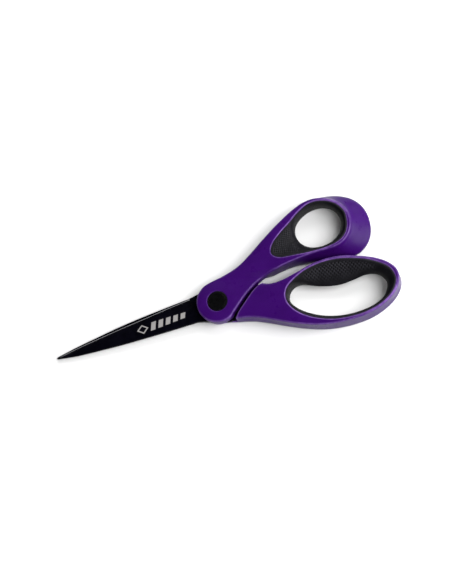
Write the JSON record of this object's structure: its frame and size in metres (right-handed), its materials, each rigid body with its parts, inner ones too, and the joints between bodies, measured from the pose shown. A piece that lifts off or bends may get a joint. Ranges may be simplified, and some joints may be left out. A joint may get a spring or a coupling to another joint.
{
  "type": "scissors",
  "caption": "Straight-edged office scissors with dark coated blades, hard handles with a small and a long loop, and soft grip liners.",
  "frame": {"origin": "on the pivot axis, at the outer face of the rear boss, where the rear pivot cap lies flush", "axes": "+X from the pivot towards the handles, so the closed blades point along -X; +Y towards the thumb loop; +Z along the pivot axis from the rear boss to the front boss"},
  "size_m": [0.2118, 0.0812, 0.0148],
  "materials": {
    "handle_plastic": "satin moulded purple",
    "grip_rubber": "matte with small dimples",
    "blade_steel": "dark non-stick coating, bare steel along the ground edge",
    "cap_plastic": "matte",
    "pivot_steel": "turned",
    "washer_plastic": "smooth"
  },
  "bodies": {
    "finger_half": {"finger_handle": "handle_plastic", "finger_grip": "grip_rubber", "rear_blade": "blade_steel", "rear_pivot_cap": "cap_plastic", "pivot_nut": "pivot_steel", "pivot_screw": "pivot_steel", "blade_washer": "washer_plastic", "screw_washer": "pivot_steel", "spring_washer": "pivot_steel"},
    "thumb_half": {"thumb_handle": "handle_plastic", "thumb_grip": "grip_rubber", "front_blade": "blade_steel", "front_pivot_cap": "cap_plastic"}
  },
  "joints": [
    {"name": "blade_pivot", "type": "hinge", "parent": "finger_half", "child": "thumb_half", "pos_m": [0, 0, 0.0046], "axis": [0, 0, 1], "range_deg": [0, 60]}
  ]
}
